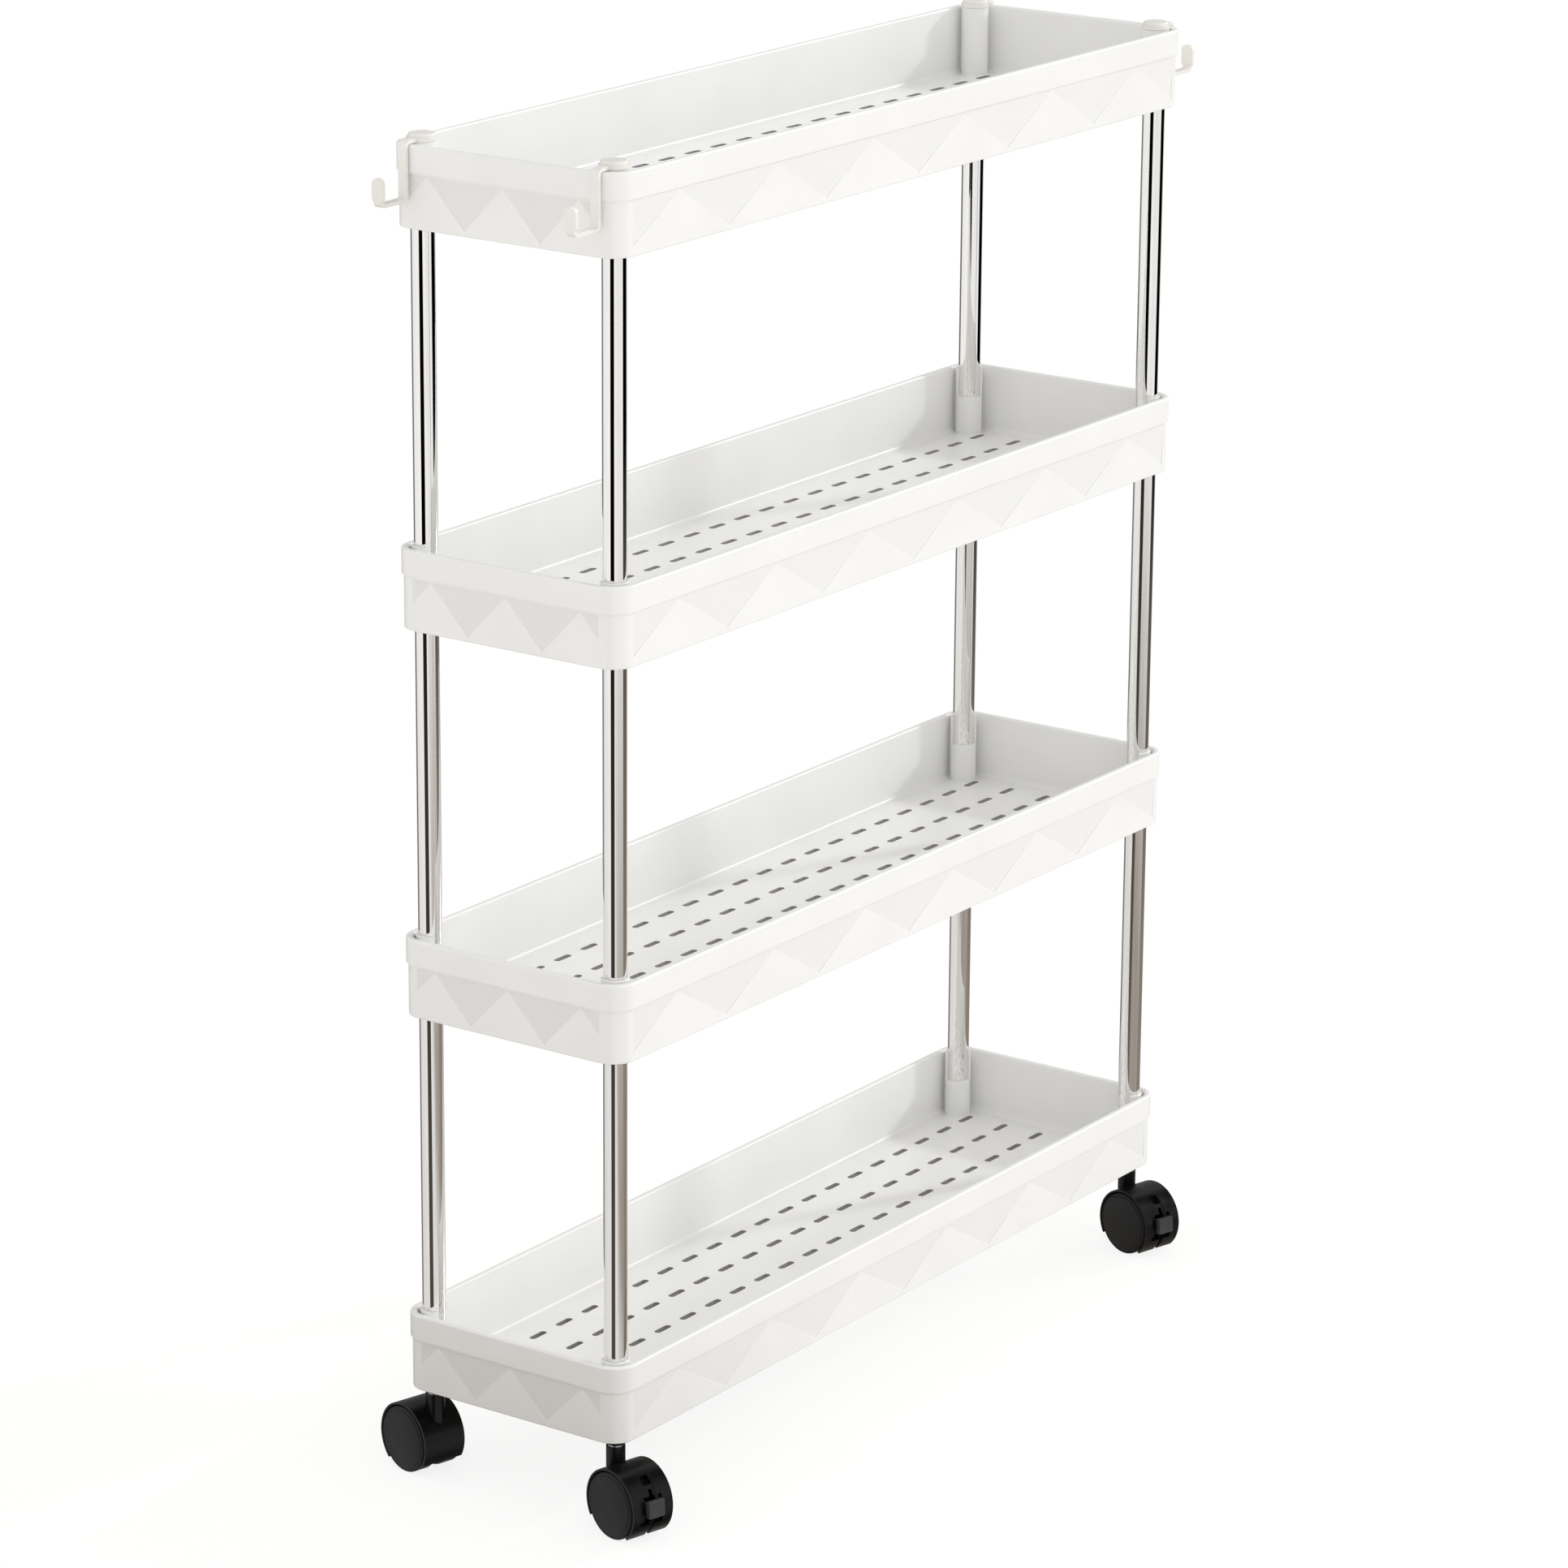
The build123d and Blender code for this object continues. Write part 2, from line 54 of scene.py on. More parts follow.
# %% Smooth by angle
def smooth_by_angle(piece, degrees=28.0):
    """Smooth faces everywhere, with the edges sharper than this angle kept crisp."""
    piece.data.shade_smooth()
    piece.data.set_sharp_from_angle(angle=math.radians(degrees))


# %% [markdown]
# ## Small helpers for materials
# Colours are written as sRGB hex values, as a colour picker shows them. The renderer works in linear
# light, so one function converts them. A second one adds a node with its settings and links, which
# keeps each material short enough to read, and a third sets a ramp's two colours.

# %% Colour and node helpers
def linear(hex_value):
    """sRGB hex string to a linear RGBA colour."""
    channels = [int(hex_value[i : i + 2], 16) / 255.0 for i in (1, 3, 5)]
    curve = [c / 12.92 if c <= 0.04045 else ((c + 0.055) / 1.055) ** 2.4 for c in channels]
    return (*curve, 1.0)


def add_node(tree, kind, settings=None, values=None, links=None):
    """Adds a node: attributes from settings, socket values from values, links from other sockets."""
    node = tree.nodes.new(kind)
    for name, value in (settings or {}).items():
        setattr(node, name, value)
    for name, value in (values or {}).items():
        node.inputs[name].default_value = value
    for name, source in (links or {}).items():
        tree.links.new(source, node.inputs[name])
    return node


def two_tones(ramp, *stops):
    """Sets a colour ramp's first stops, each a position and an sRGB hex value."""
    for element, (position, hex_value) in zip(ramp.color_ramp.elements, stops):
        element.position = position
        element.color = linear(hex_value)


def new_material(name):
    """An empty node material and its output node."""
    material = bpy.data.materials.new(name)
    material.use_nodes = True
    material.node_tree.nodes.clear()
    return material, material.node_tree.nodes.new("ShaderNodeOutputMaterial")


# %% [markdown]
# ## White polypropylene
# The trays, caps and hooks are injection-moulded polypropylene, coloured white in the mass. A polished
# steel mould leaves a satin gloss. Two things keep it from looking like paint: the wall sinks by
# a few hundredths of a millimetre between ribs, over about 40 mm, and a very fine grain breaks up
# the highlight. The grain is really near 0.1 mm. It is drawn at 0.6 mm so that it can show.

# %% White polypropylene
def moulded_polypropylene(name, white_hex, shade_hex, roughness):
    """Satin white moulded polypropylene with slow sink waves and a fine grain."""
    material, output = new_material(name)
    tree = material.node_tree
    place = add_node(tree, "ShaderNodeTexCoord")
    sink = add_node(
        tree,
        "ShaderNodeTexNoise",
        values={"Scale": 1.0 / (40 * MM), "Detail": 1.0, "Roughness": 0.4},
        links={"Vector": place.outputs["Object"]},
    )
    grain = add_node(
        tree,
        "ShaderNodeTexNoise",
        values={"Scale": 1.0 / (0.6 * MM), "Detail": 2.0, "Roughness": 0.5},
        links={"Vector": place.outputs["Object"]},
    )
    tint = add_node(tree, "ShaderNodeValToRGB", links={"Fac": sink.outputs["Fac"]})
    two_tones(tint, (0.3, shade_hex), (0.7, white_hex))
    gloss = add_node(
        tree,
        "ShaderNodeMapRange",
        values={
            "From Min": 0.3,
            "From Max": 0.7,
            "To Min": roughness - 0.03,
            "To Max": roughness + 0.04,
        },
        links={"Value": grain.outputs["Fac"]},
    )
    wave_bump = add_node(
        tree,
        "ShaderNodeBump",
        values={"Strength": 0.25, "Distance": 0.05 * MM},
        links={"Height": sink.outputs["Fac"]},
    )
    grain_bump = add_node(
        tree,
        "ShaderNodeBump",
        values={"Strength": 0.12, "Distance": 0.02 * MM},
        links={"Height": grain.outputs["Fac"], "Normal": wave_bump.outputs["Normal"]},
    )
    surface = add_node(
        tree,
        "ShaderNodeBsdfPrincipled",
        values={"IOR": 1.49, "Metallic": 0.0},
        links={
            "Base Color": tint.outputs["Color"],
            "Roughness": gloss.outputs["Result"],
            "Normal": grain_bump.outputs["Normal"],
        },
    )
    tree.links.new(surface.outputs["BSDF"], output.inputs["Surface"])
    return material


white_tray = moulded_polypropylene("white_polypropylene_moulded_tray", "#F4F4F3", "#F1F1F0", 0.34)
white_fitting = moulded_polypropylene("white_polypropylene_moulded_fitting", "#F1F0EC", "#ECEAE5", 0.26)
print("white polypropylene ready")


# %% [markdown]
# ## Grained triangles on the tray walls, and painted shade in the slots
# The sunk triangles under each tray's band come from a part of the mould that was etched with a
# fine grain, while the raised ones were polished. Grained plastic scatters light and reads as a paler
# or darker patch with a crisp edge. The pattern is regular, so plain arithmetic can draw its mask:
# fold the distance along the wall into half a triangle, and compare it with the height above
# the triangle's foot. It is done once for the long walls and once for the short ones.
# The slots' side faces get a painted shade: their colour is darkened to stand in for the little light
# that reaches them. Their mask is the floor's height and a face that stands upright.

# %% Grained triangles and painted slot shade
tray_bottom = 52.5 * MM
tray_pitch = 216.5 * MM
triangle_foot = 3.0 * MM
triangle_head = 28.5 * MM
long_pitch = 530.0 / 6 * MM
short_pitch = 147.0 / 3 * MM
long_wall_y = 72.4 * MM
short_wall_x = 272.4 * MM
flat_half_x = 261.0 * MM
flat_half_y = 61.0 * MM
slot_middle = 3.5 * MM
slot_half_height = 1.45 * MM
slotted_half_x = 262.0 * MM
slotted_half_y = 58.0 * MM


def maths(tree, operation, first, second=0.0, third=0.0):
    """One arithmetic node; each operand is a number or a socket."""
    node = add_node(tree, "ShaderNodeMath", settings={"operation": operation})
    for index, operand in enumerate((first, second, third)):
        if isinstance(operand, (int, float)):
            node.inputs[index].default_value = operand
        else:
            tree.links.new(operand, node.inputs[index])
    return node.outputs["Value"]


def triangle_mask(tree, along, height, pitch, shift):
    """1 inside the point-down triangles whose feet stand a pitch apart, 0 elsewhere."""
    folded = maths(tree, "PINGPONG", maths(tree, "ADD", along, shift), pitch / 2)
    share = maths(tree, "DIVIDE", folded, pitch / 2)
    above_foot = maths(tree, "SUBTRACT", height, triangle_foot)
    rise = maths(tree, "DIVIDE", above_foot, triangle_head - triangle_foot)
    inside = maths(tree, "LESS_THAN", share, rise)
    return maths(tree, "MULTIPLY", inside, maths(tree, "LESS_THAN", height, triangle_head))


def wall_mask(tree, across, wall, along, flat_half):
    """1 on the outer face of a wall pair, between its corners."""
    outside = maths(tree, "GREATER_THAN", maths(tree, "ABSOLUTE", across), wall)
    between = maths(tree, "LESS_THAN", maths(tree, "ABSOLUTE", along), flat_half)
    return maths(tree, "MULTIPLY", outside, between)


def grain_the_triangles(material, grained_hex, grained_roughness):
    """Gives a moulded tray's material the grained finish inside its sunk triangles."""
    tree = material.node_tree
    surface = next(node for node in tree.nodes if node.type == "BSDF_PRINCIPLED")
    polished_colour = surface.inputs["Base Color"].links[0].from_socket
    polished_gloss = surface.inputs["Roughness"].links[0].from_socket
    place = add_node(tree, "ShaderNodeTexCoord")
    axes = add_node(tree, "ShaderNodeSeparateXYZ", links={"Vector": place.outputs["Object"]})
    x, y, z = (axes.outputs[name] for name in "XYZ")
    height = maths(tree, "MODULO", maths(tree, "SUBTRACT", z, tray_bottom), tray_pitch)
    on_long = maths(
        tree,
        "MULTIPLY",
        triangle_mask(tree, x, height, long_pitch, 6 * long_pitch),
        wall_mask(tree, y, long_wall_y, x, flat_half_x),
    )
    on_short = maths(
        tree,
        "MULTIPLY",
        triangle_mask(tree, y, height, short_pitch, 5.5 * short_pitch),
        wall_mask(tree, x, short_wall_x, y, flat_half_y),
    )
    mask = maths(tree, "MAXIMUM", on_long, on_short)
    colour = add_node(
        tree,
        "ShaderNodeMix",
        settings={"data_type": "RGBA"},
        values={7: linear(grained_hex)},
        links={0: mask, 6: polished_colour},
    )
    gloss = add_node(
        tree,
        "ShaderNodeMix",
        settings={"data_type": "FLOAT"},
        values={3: grained_roughness},
        links={0: mask, 2: polished_gloss},
    )
    tree.links.new(colour.outputs[2], surface.inputs["Base Color"])
    tree.links.new(gloss.outputs[0], surface.inputs["Roughness"])


def paint_slot_shade(material, painted_slot_shade_hex):
    """Darkens the colour of the upright faces inside the floor's slots: a painted shade."""
    tree = material.node_tree
    surface = next(node for node in tree.nodes if node.type == "BSDF_PRINCIPLED")
    tray_colour = surface.inputs["Base Color"].links[0].from_socket
    place = add_node(tree, "ShaderNodeTexCoord")
    axes = add_node(tree, "ShaderNodeSeparateXYZ", links={"Vector": place.outputs["Object"]})
    facing = add_node(tree, "ShaderNodeSeparateXYZ", links={"Vector": place.outputs["Normal"]})
    x, y, z = (axes.outputs[name] for name in "XYZ")
    height = maths(tree, "MODULO", maths(tree, "SUBTRACT", z, tray_bottom), tray_pitch)
    upright = maths(tree, "LESS_THAN", maths(tree, "ABSOLUTE", facing.outputs["Z"]), 0.5)
    in_floor = maths(tree, "COMPARE", height, slot_middle, slot_half_height)
    inboard = maths(
        tree,
        "MULTIPLY",
        maths(tree, "LESS_THAN", maths(tree, "ABSOLUTE", x), slotted_half_x),
        maths(tree, "LESS_THAN", maths(tree, "ABSOLUTE", y), slotted_half_y),
    )
    # Painted shade: this mask darkens the slot walls' colour to stand in for the shade inside the
    # slots.
    mask = maths(tree, "MULTIPLY", maths(tree, "MULTIPLY", upright, in_floor), inboard)
    colour = add_node(
        tree,
        "ShaderNodeMix",
        settings={"data_type": "RGBA"},
        values={7: linear(painted_slot_shade_hex)},
        links={0: mask, 6: tray_colour},
    )
    tree.links.new(colour.outputs[2], surface.inputs["Base Color"])


grain_the_triangles(white_tray, "#EAEAE9", 0.62)
# The slot walls get a painted shade, #9A9895.
paint_slot_shade(white_tray, "#9A9895")
print("triangles: long pitch", round(long_pitch, 4), "short pitch", round(short_pitch, 4))


# %% [markdown]
# ## Chromed steel tube
# The uprights are thin steel tube, polished and then plated with bright chrome. The plating copies
# its surroundings, so nearly all of the look comes from the studio. What the tube adds is a faint
# draw line along its length, left by the die that sized it, and a slight haze from wiping. Stretching
# a noise along Z, 60 times longer than it is wide, gives both.

# %% Chromed tube
def chromed_drawn_tube(name):
    """Bright chrome over drawn steel tube, with faint lengthwise draw lines."""
    material, output = new_material(name)
    tree = material.node_tree
    place = add_node(tree, "ShaderNodeTexCoord")
    stretch = add_node(
        tree,
        "ShaderNodeMapping",
        values={"Scale": (1.0 / (0.7 * MM), 1.0 / (0.7 * MM), 1.0 / (42 * MM))},
        links={"Vector": place.outputs["Object"]},
    )
    lines = add_node(
        tree,
        "ShaderNodeTexNoise",
        values={"Scale": 1.0, "Detail": 3.0, "Roughness": 0.55},
        links={"Vector": stretch.outputs["Vector"]},
    )
    haze = add_node(
        tree,
        "ShaderNodeMapRange",
        values={"From Min": 0.35, "From Max": 0.7, "To Min": 0.02, "To Max": 0.06},
        links={"Value": lines.outputs["Fac"]},
    )
    tone = add_node(tree, "ShaderNodeValToRGB", links={"Fac": lines.outputs["Fac"]})
    two_tones(tone, (0.3, "#EDECEA"), (0.7, "#F7F6F4"))
    bump = add_node(
        tree,
        "ShaderNodeBump",
        values={"Strength": 0.04, "Distance": 0.01 * MM},
        links={"Height": lines.outputs["Fac"]},
    )
    surface = add_node(
        tree,
        "ShaderNodeBsdfPrincipled",
        values={"Metallic": 1.0},
        links={
            "Base Color": tone.outputs["Color"],
            "Roughness": haze.outputs["Result"],
            "Normal": bump.outputs["Normal"],
        },
    )
    tree.links.new(surface.outputs["BSDF"], output.inputs["Surface"])
    return material


chrome = chromed_drawn_tube("chrome_plated_drawn_steel_tube")
print("chrome ready")


# %% [markdown]
# ## Zinc-plated steel
# The caster's stem and axle are turned steel rod with bright zinc over it. Turning leaves rings round
# the rod about 0.3 mm apart, and zinc is greyer and duller than chrome, with a faint blue cast.

# %% Zinc-plated steel
def zinc_plated_steel(name):
    """Turned steel with bright zinc: fine rings and a soft blue-grey sheen."""
    material, output = new_material(name)
    tree = material.node_tree
    place = add_node(tree, "ShaderNodeTexCoord")
    mottle = add_node(
        tree,
        "ShaderNodeTexNoise",
        values={"Scale": 1.0 / (2.5 * MM), "Detail": 3.0},
        links={"Vector": place.outputs["Object"]},
    )
    rings = add_node(
        tree,
        "ShaderNodeTexWave",
        settings={"wave_type": "BANDS", "bands_direction": "Z"},
        values={"Scale": 0.05 / (0.3 * MM), "Distortion": 0.6},
        links={"Vector": place.outputs["Object"]},
    )
    tone = add_node(tree, "ShaderNodeValToRGB", links={"Fac": mottle.outputs["Fac"]})
    two_tones(tone, (0.35, "#9A9DA1"), (0.65, "#B9BCC0"))
    bump = add_node(
        tree,
        "ShaderNodeBump",
        values={"Strength": 0.2, "Distance": 0.02 * MM},
        links={"Height": rings.outputs["Fac"]},
    )
    surface = add_node(
        tree,
        "ShaderNodeBsdfPrincipled",
        values={"Metallic": 1.0, "Roughness": 0.32},
        links={"Base Color": tone.outputs["Color"], "Normal": bump.outputs["Normal"]},
    )
    tree.links.new(surface.outputs["BSDF"], output.inputs["Surface"])
    return material


zinc = zinc_plated_steel("zinc_plated_turned_steel")
print("zinc ready")


# %% [markdown]
# ## Black caster plastics
# The hood is black nylon from a polished mould, so it carries broad soft highlights. The wheels are
# black polyurethane over a nylon core, a little duller. The hub caps and the foot lever are nylon too,
# from a mould that was blasted with grit: the pits scatter the light and the black reads as charcoal.
# One function makes them all, from a colour, a gloss and a grain size in millimetres.

# %% Black plastics
def moulded_nylon(name, dark_hex, light_hex, roughness, grain_mm, grain_depth_mm):
    """Moulded nylon with a grit-blasted grain of the given size and depth."""
    material, output = new_material(name)
    tree = material.node_tree
    place = add_node(tree, "ShaderNodeTexCoord")
    grain = add_node(
        tree,
        "ShaderNodeTexNoise",
        values={"Scale": 1.0 / (grain_mm * MM), "Detail": 3.0, "Roughness": 0.6},
        links={"Vector": place.outputs["Object"]},
    )
    rub = add_node(
        tree,
        "ShaderNodeTexNoise",
        values={"Scale": 1.0 / (9 * MM), "Detail": 2.0},
        links={"Vector": place.outputs["Object"]},
    )
    tone = add_node(tree, "ShaderNodeValToRGB", links={"Fac": rub.outputs["Fac"]})
    two_tones(tone, (0.3, dark_hex), (0.75, light_hex))
    gloss = add_node(
        tree,
        "ShaderNodeMapRange",
        values={
            "From Min": 0.3,
            "From Max": 0.7,
            "To Min": roughness - 0.04,
            "To Max": roughness + 0.06,
        },
        links={"Value": rub.outputs["Fac"]},
    )
    bump = add_node(
        tree,
        "ShaderNodeBump",
        values={"Strength": 0.35, "Distance": grain_depth_mm * MM},
        links={"Height": grain.outputs["Fac"]},
    )
    surface = add_node(
        tree,
        "ShaderNodeBsdfPrincipled",
        values={"IOR": 1.53, "Metallic": 0.0, "Specular IOR Level": 0.23},
        links={
            "Base Color": tone.outputs["Color"],
            "Roughness": gloss.outputs["Result"],
            "Normal": bump.outputs["Normal"],
        },
    )
    tree.links.new(surface.outputs["BSDF"], output.inputs["Surface"])
    return material


black_hood = moulded_nylon("black_nylon_polished_mould", "#070708", "#0D0D0E", 0.30, 0.5, 0.01)
black_tread = moulded_nylon("black_polyurethane_tread", "#0B0B0C", "#121213", 0.42, 0.7, 0.03)
charcoal_cap = moulded_nylon("charcoal_nylon_grained_cap", "#151516", "#1C1C1D", 0.40, 0.6, 0.04)
charcoal_lever = moulded_nylon("charcoal_nylon_foot_lever", "#3C3D3F", "#48494B", 0.36, 0.6, 0.03)
black_socket = moulded_nylon("black_polypropylene_socket", "#101011", "#181819", 0.38, 0.8, 0.02)
print("black plastics ready")


# %% [markdown]
# ## Giving each piece its material
# The pieces are named for what they are, so the start of a name is enough to choose its material.

# %% Assign the materials
finishes = (
    ("post_cap", white_fitting),
    ("hook", white_fitting),
    ("caster_socket", black_socket),
    ("caster_stem", zinc),
    ("caster_axle", zinc),
    ("caster_housing", black_hood),
    ("brake_lever", charcoal_lever),
    ("wheel", black_tread),
    ("hubcap", charcoal_cap),
)


def finish_for(name):
    """The material of a piece, from its name."""
    if name.endswith("_tray"):
        return white_tray
    if "_tube_" in name:
        return chrome
    return next(material for start, material in finishes if name.startswith(start))


for name, piece in nodes.items():
    piece.data.materials.clear()
    piece.data.materials.append(finish_for(name))
    smooth_by_angle(piece)
print("finished pieces:", len(nodes))


# %% [markdown]
# ## Gate marks
# Plastic enters a mould through a gate, and where the gate is snapped off it leaves a small round
# stub in a dished well. On a tray it is on the underside, where nobody looks. It could be a bump
# texture, but a turned profile gives a true edge for the light, so a short profile is spun
# round its axis here.

# %% Gate marks under the trays
def spin_profile(name, profile, steps):
    """A turned mesh: profile points (radius, height) in millimetres, spun round Z."""
    mesh = bmesh.new()
    rings = []
    for radius, height in profile:
        if radius == 0:
            rings.append([mesh.verts.new((0, 0, height * MM))])
            continue
        turns = [2 * math.pi * i / steps for i in range(steps)]
        reach, z = radius * MM, height * MM
        rings.append(
            [mesh.verts.new((reach * math.cos(t), reach * math.sin(t), z)) for t in turns]
        )
    for lower, upper in zip(rings, rings[1:]):
        for i in range(steps):
            j = (i + 1) % steps
            low_pair = [lower[i % len(lower)], lower[j % len(lower)]]
            high_pair = [upper[j % len(upper)], upper[i % len(upper)]]
            unique = list(dict.fromkeys(low_pair + high_pair))
            if len(unique) > 2:
                mesh.faces.new(unique)
    bmesh.ops.recalc_face_normals(mesh, faces=mesh.faces)
    data = bpy.data.meshes.new(name)
    mesh.to_mesh(data)
    mesh.free()
    piece = bpy.data.objects.new(name, data)
    bpy.context.scene.collection.objects.link(piece)
    return piece


gate_profile = (
    (0, 0.3), (3.6, 0.3), (3.6, -0.35), (3.2, -0.6), (2.4, -0.6),
    (2.0, -0.2), (1.1, -0.2), (0.9, -0.9), (0, -1.0),
)
gate_steps = 32
gate_x = 24.2 * MM
gate_y = 6.0 * MM
floor_lift = 2.0 * MM
for name in ("bottom_tray", "lower_middle_tray", "upper_middle_tray", "top_tray"):
    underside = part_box(name)[0][2] + floor_lift
    gate = spin_profile(f"gate_mark_{name}", gate_profile, gate_steps)
    gate.location = (gate_x, gate_y, underside)
    gate.data.materials.append(white_tray)
    smooth_by_angle(gate)
    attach(gate, "cart")
print("gate marks: 4")


# %% [markdown]
# ## The studio
# White plastic on a white ground needs light from everywhere, and one firmer light to model it. Here
# the world is an even white dome, and a sun lamp stands in for the key light, low at the right-hand
# end: it lights the long fronts and throws the end wall's soft shadow onto each back wall, and leaves
# the left ends a shade darker. A long low fill in front lifts the fronts a little more. Chrome shows
# only what stands round it, so for mirror rays the dome has dark upright bands, as black cards beside
# the set give.

# %% Key light
def aim(thing, direction):
    """Points an object's -Z along a direction."""
    thing.rotation_euler = Vector(direction).to_track_quat("-Z", "Y").to_euler()


key_data = bpy.data.lights.new("key_light", "SUN")
key_data.energy = 0.95
key_data.angle = math.radians(4.0)
key_data.color = (0.98, 0.99, 1.0)
key = bpy.data.objects.new("key_light", key_data)
bpy.context.scene.collection.objects.link(key)
toward_key = Vector((0.83, -0.40, 0.42))
aim(key, -toward_key)
print("key light from", [round(v, 2) for v in toward_key])

# %% Front fill
fill_data = bpy.data.lights.new("front_fill", "AREA")
fill_data.shape = "RECTANGLE"
fill_data.size = 3.0
fill_data.size_y = 1.4
fill_data.energy = 14.0
fill_data.color = (0.985, 0.99, 1.0)
fill = bpy.data.objects.new("front_fill", fill_data)
bpy.context.scene.collection.objects.link(fill)
fill.location = (0.6, -3.2, 0.9)
aim(fill, Vector((0.0, 0.0, 0.35)) - fill.location)
fill.visible_glossy = False
fill.visible_camera = False
print("front fill at", [round(v, 2) for v in fill.location])

# %% Dome
camera_azimuth = -55.08
camera_elevation = 16.91
camera_roll = 0.42

world = bpy.data.worlds.new("studio_dome")
bpy.context.scene.world = world
world.use_nodes = True
dome = world.node_tree
dome.nodes.clear()
ray = add_node(dome, "ShaderNodeLightPath")
spot = add_node(dome, "ShaderNodeTexCoord")
turned = add_node(
    dome,
    "ShaderNodeVectorRotate",
    settings={"rotation_type": "Z_AXIS"},
    values={"Angle": math.radians(-(camera_azimuth - 90.0))},
    links={"Vector": spot.outputs["Generated"]},
)
parts = add_node(dome, "ShaderNodeSeparateXYZ", links={"Vector": turned.outputs["Vector"]})
bearing = add_node(
    dome,
    "ShaderNodeMath",
    settings={"operation": "ARCTAN2"},
    links={0: parts.outputs["Y"], 1: parts.outputs["X"]},
)
around = add_node(
    dome,
    "ShaderNodeMapRange",
    values={"From Min": -math.pi, "From Max": math.pi, "To Min": 0.0, "To Max": 1.0},
    links={"Value": bearing.outputs["Value"]},
)
cards = add_node(dome, "ShaderNodeValToRGB", links={"Fac": around.outputs["Result"]})
card_stops = (
    (-180, 0.35), (-126, 0.10), (-116, 0.92), (-38, 1.0), (-36, 0.0), (-2, 0.0), (0, 1.0),
    (40, 0.88), (84, 0.95), (86, 0.0), (140, 0.0), (146, 0.8), (180, 0.35),
)
elements = cards.color_ramp.elements
while len(elements) > 1:
    elements.remove(elements[-1])
for i, (degrees, level) in enumerate(card_stops):
    position = (degrees + 180.0) / 360.0
    stop = elements[0] if i == 0 else elements.new(position)
    stop.position = position
    stop.color = (level, level * 0.995, level * 0.98, 1.0)
mirror_side = add_node(
    dome, "ShaderNodeBackground", values={"Strength": 1.0}, links={"Color": cards.outputs["Color"]}
)
even_side = add_node(
    dome, "ShaderNodeBackground", values={"Color": (1.0, 0.99, 0.975, 1.0), "Strength": 0.89}
)
seen_side = add_node(dome, "ShaderNodeBackground", values={"Color": (1, 1, 1, 1), "Strength": 1.0})
lit = add_node(
    dome,
    "ShaderNodeMixShader",
    links={
        0: ray.outputs["Is Glossy Ray"],
        1: even_side.outputs["Background"],
        2: mirror_side.outputs["Background"],
    },
)
shown = add_node(
    dome,
    "ShaderNodeMixShader",
    links={
        0: ray.outputs["Is Camera Ray"],
        1: lit.outputs["Shader"],
        2: seen_side.outputs["Background"],
    },
)
add_node(dome, "ShaderNodeOutputWorld", links={"Surface": shown.outputs["Shader"]})
print("dome cards:", len(card_stops))


# %% [markdown]
# ## The floor
# The floor is one large pale sheet. Mirror rays see a painted reflection on it: a glowing warm grey
# towards the right-hand front, which gives the low tubes their brown-grey side, and fades out with
# distance.
# Close to the left end a dark warm patch is painted into the light the sheet bounces, a painted shade
# so that the bottom tray's end wall darkens towards the floor. Seen straight on, the whole sheet is
# close to white.

# %% Floor
floor_material, floor_output = new_material("pale_studio_floor")
tree = floor_material.node_tree
ray = add_node(tree, "ShaderNodeLightPath")
place = add_node(tree, "ShaderNodeTexCoord")
speck = add_node(
    tree,
    "ShaderNodeTexNoise",
    values={"Scale": 1.0 / (30 * MM), "Detail": 2.0},
    links={"Vector": place.outputs["Object"]},
)
pale = add_node(tree, "ShaderNodeValToRGB", links={"Fac": speck.outputs["Fac"]})
two_tones(pale, (0.0, "#F4F3F0"), (1.0, "#F8F7F4"))
# Painted shade: a dark warm patch in the sheet's bounced light near the left end, never seen by the
# camera.
painted_shade_patch_centre = (-0.40, 0.0, 0.0)
floor_size = 30.0
from_left_end = add_node(
    tree,
    "ShaderNodeVectorMath",
    settings={"operation": "DISTANCE"},
    values={1: painted_shade_patch_centre},
    links={0: place.outputs["Object"]},
)
left_end = add_node(
    tree,
    "ShaderNodeMapRange",
    values={"From Min": 0.14, "From Max": 0.34, "To Min": 1.0, "To Max": 0.0},
    links={"Value": from_left_end.outputs["Value"]},
)
# The sheet's bounce colour, with the painted shade patch mixed in.
warm = add_node(
    tree,
    "ShaderNodeMix",
    settings={"data_type": "RGBA"},
    values={7: linear("#7A6D5E")},
    links={0: left_end.outputs["Result"], 6: pale.outputs["Color"]},
)
sheet = add_node(
    tree, "ShaderNodeBsdfDiffuse", values={"Roughness": 0.5}, links={"Color": warm.outputs[2]}
)
# The share of the painted reflection: towards the right-hand front, fading with distance.
azimuth = math.radians(camera_azimuth)
side = add_node(
    tree,
    "ShaderNodeVectorMath",
    settings={"operation": "DOT_PRODUCT"},
    values={1: (math.cos(azimuth), math.sin(azimuth), 0.0)},
    links={0: place.outputs["Object"]},
)
right_side = add_node(
    tree,
    "ShaderNodeMapRange",
    values={"From Min": 0.0, "From Max": 0.25, "To Min": 0.25, "To Max": 0.9},
    links={"Value": side.outputs["Value"]},
)
reach = add_node(
    tree, "ShaderNodeVectorMath", settings={"operation": "LENGTH"}, links={0: place.outputs["Object"]}
)
near = add_node(
    tree,
    "ShaderNodeMapRange",
    values={"From Min": 0.6, "From Max": 2.3, "To Min": 1.0, "To Max": 0.0},
    links={"Value": reach.outputs["Value"]},
)
share = add_node(
    tree,
    "ShaderNodeMath",
    settings={"operation": "MULTIPLY"},
    links={0: right_side.outputs["Result"], 1: near.outputs["Result"]},
)
clear = add_node(tree, "ShaderNodeBsdfTransparent", values={"Color": (1, 1, 1, 1)})
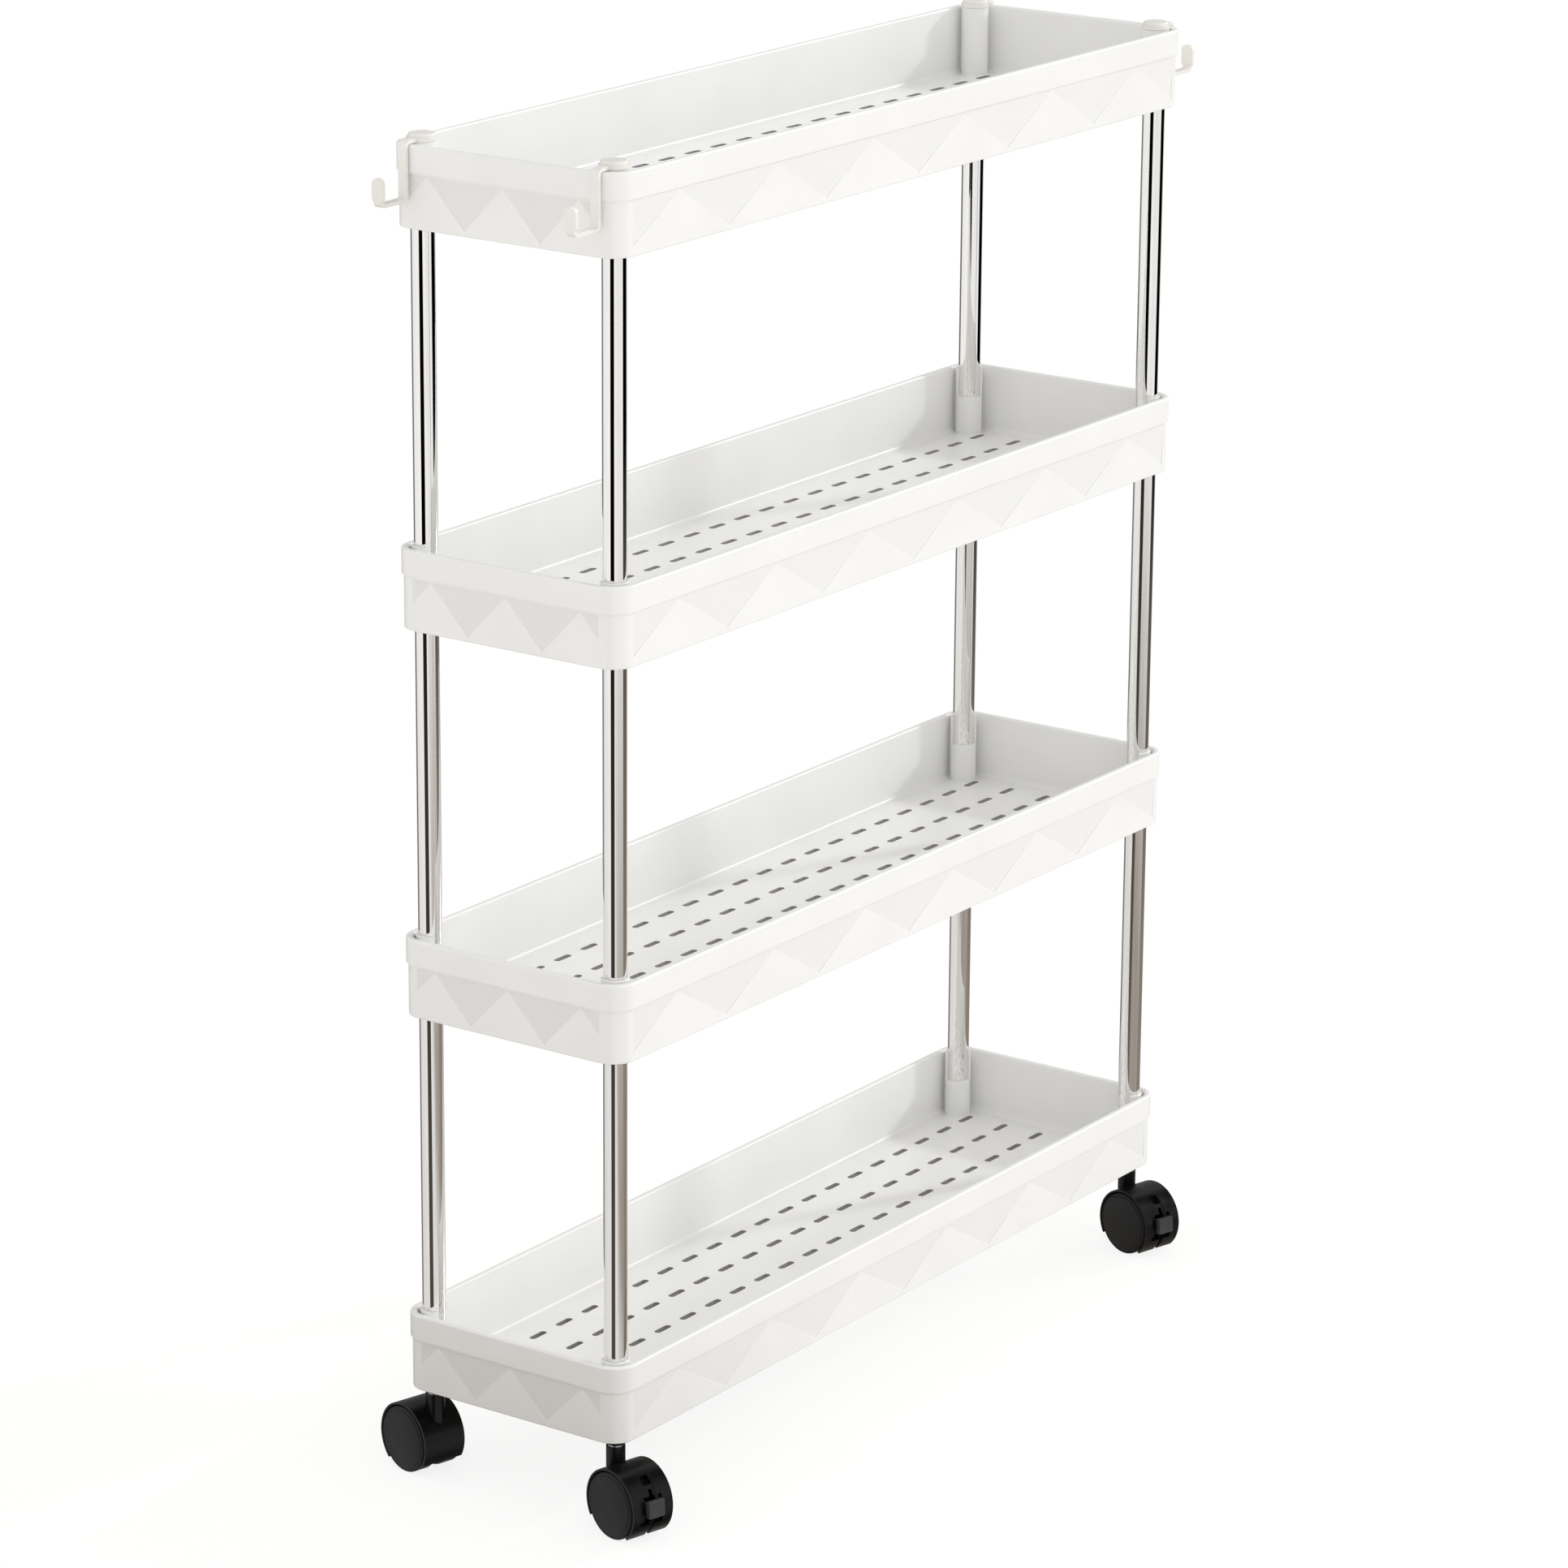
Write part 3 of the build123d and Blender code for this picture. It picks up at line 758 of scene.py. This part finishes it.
# Painted reflection: mirror rays see this glowing warm grey, which the sheet itself does not have.
painted_reflection_taupe = add_node(tree, "ShaderNodeEmission", values={"Color": linear("#948A80"), "Strength": 1.0})
mirrored = add_node(
    tree,
    "ShaderNodeMixShader",
    links={0: share.outputs["Value"], 1: clear.outputs["BSDF"], 2: painted_reflection_taupe.outputs["Emission"]},
)
bright = add_node(tree, "ShaderNodeEmission", values={"Color": linear("#FFFFFF"), "Strength": 1.05})
shadow_catcher = add_node(
    tree, "ShaderNodeBsdfDiffuse", values={"Roughness": 0.5}, links={"Color": pale.outputs["Color"]}
)
lifted = add_node(
    tree,
    "ShaderNodeMixShader",
    values={0: 0.2},
    links={1: bright.outputs["Emission"], 2: shadow_catcher.outputs["BSDF"]},
)
seen = add_node(
    tree,
    "ShaderNodeMixShader",
    links={0: ray.outputs["Is Camera Ray"], 1: sheet.outputs["BSDF"], 2: lifted.outputs["Shader"]},
)
whole = add_node(
    tree,
    "ShaderNodeMixShader",
    links={0: ray.outputs["Is Glossy Ray"], 1: seen.outputs["Shader"], 2: mirrored.outputs["Shader"]},
)
tree.links.new(whole.outputs["Shader"], floor_output.inputs["Surface"])

floor_mesh = bmesh.new()
bmesh.ops.create_grid(floor_mesh, x_segments=8, y_segments=8, size=floor_size)
floor_data = bpy.data.meshes.new("studio_floor")
floor_mesh.to_mesh(floor_data)
floor_mesh.free()
floor = bpy.data.objects.new("studio_floor", floor_data)
floor.data.materials.append(floor_material)
bpy.context.scene.collection.objects.link(floor)
print("floor ready")


# %% [markdown]
# ## Camera
# The camera stands well back with a long lens, to the left of the cart and a little above it. Its
# place comes from an aim point, a distance and three angles, which are easier to read than a matrix.
# The Standard view transform keeps white plastic white.

# %% Camera
aim_point = Vector((-0.0059, 0.0084, 0.3452))
distance = 3.3858
lens_mm = 137.37
sensor_mm = 36.0

az, el, roll = (math.radians(v) for v in (camera_azimuth, camera_elevation, camera_roll))
backward = Vector((math.sin(az) * math.cos(el), -math.cos(az) * math.cos(el), math.sin(el)))
level_right = Vector((math.cos(az), math.sin(az), 0.0))
level_up = backward.cross(level_right)
right = level_right * math.cos(roll) + level_up * math.sin(roll)
up = backward.cross(right)
camera_data = bpy.data.cameras.new("camera")
camera_data.lens = lens_mm
camera_data.sensor_width = sensor_mm
camera_data.clip_end = 100.0
camera = bpy.data.objects.new("camera", camera_data)
bpy.context.scene.collection.objects.link(camera)
turn = Matrix((right, up, backward)).transposed().to_4x4()
camera.matrix_world = Matrix.Translation(aim_point + backward * distance) @ turn
bpy.context.scene.camera = camera
bpy.context.scene.view_settings.view_transform = "Standard"
print("camera at", [round(v, 3) for v in camera.location])
